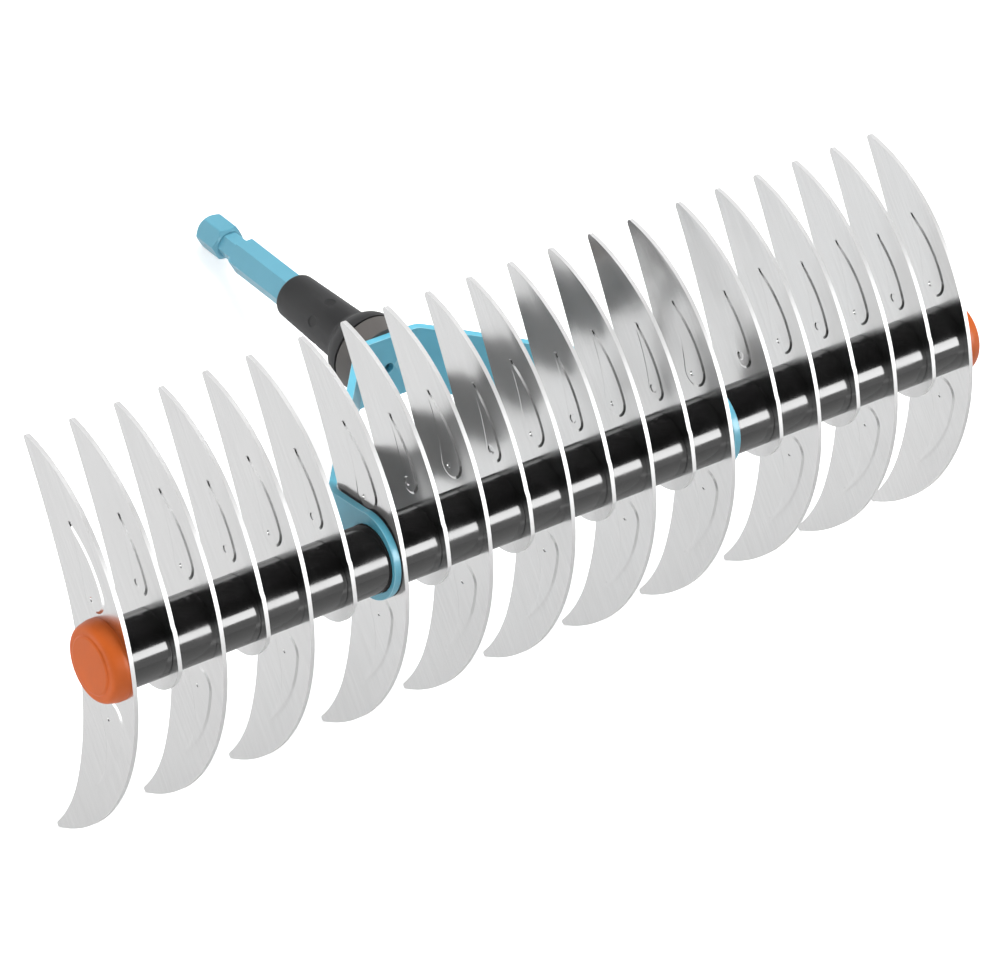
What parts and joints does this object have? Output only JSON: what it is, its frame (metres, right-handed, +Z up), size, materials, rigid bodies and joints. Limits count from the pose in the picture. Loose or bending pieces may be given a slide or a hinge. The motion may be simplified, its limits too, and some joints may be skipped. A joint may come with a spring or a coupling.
{
  "type": "thatch rake head",
  "caption": "Thatch rake head: a row of curved steel knife blades on a black tube that swings in a bent blue steel fork, with a collar and hexagon plug-in shank",
  "frame": {"origin": "centre of the bounding box at the floor, the head lying on its lobe tips and the shank's knob", "axes": "+X along the blade tube to the right, +Y on the floor towards the shank's free end, +Z up"},
  "size_m": [0.373, 0.2148, 0.1268],
  "materials": {
    "steel": "polished stainless sheet, fine lengthwise grain, bright sheared edges",
    "black_tube": "glossy black moulded sleeves",
    "journal": "dark grey bearing plastic",
    "rod": "drawn square bar",
    "fasteners": "zinc plated",
    "cap_orange": "satin orange moulded plastic",
    "fork_blue": "light blue powder coat on bent strip steel",
    "foot_grey": "dark grey moulded plastic, faint brown tint",
    "collar_black": "black moulded plastic, fine texture",
    "shank_blue": "light blue powder coat on hexagon bar"
  },
  "bodies": {
    "carrier": {"fork": "fork_blue", "foot": "foot_grey", "collar": "collar_black", "shank": "shank_blue"},
    "blade_row": {"blade_01": "steel", "blade_02": "steel", "blade_03": "steel", "blade_04": "steel", "blade_05": "steel", "blade_06": "steel", "blade_07": "steel", "blade_08": "steel", "blade_09": "steel", "blade_10": "steel", "blade_11": "steel", "blade_12": "steel", "blade_13": "steel", "blade_14": "steel", "blade_15": "steel", "blade_16": "steel", "blade_17": "steel", "blade_18": "steel", "blade_19": "steel", "blade_20": "steel", "blade_21": "steel", "spacers_left": "black_tube", "spacers_middle": "black_tube", "spacers_right": "black_tube", "journal_left": "journal", "journal_right": "journal", "rod": "rod", "end_washers": "fasteners", "end_nuts": "fasteners", "cap_left": "cap_orange", "cap_right": "cap_orange"}
  },
  "joints": [
    {"name": "head_swing", "type": "hinge", "parent": "carrier", "child": "blade_row", "pos_m": [0, -0.07829, 0.08871], "axis": [1, 0, 0], "range_deg": [0, 30]}
  ]
}
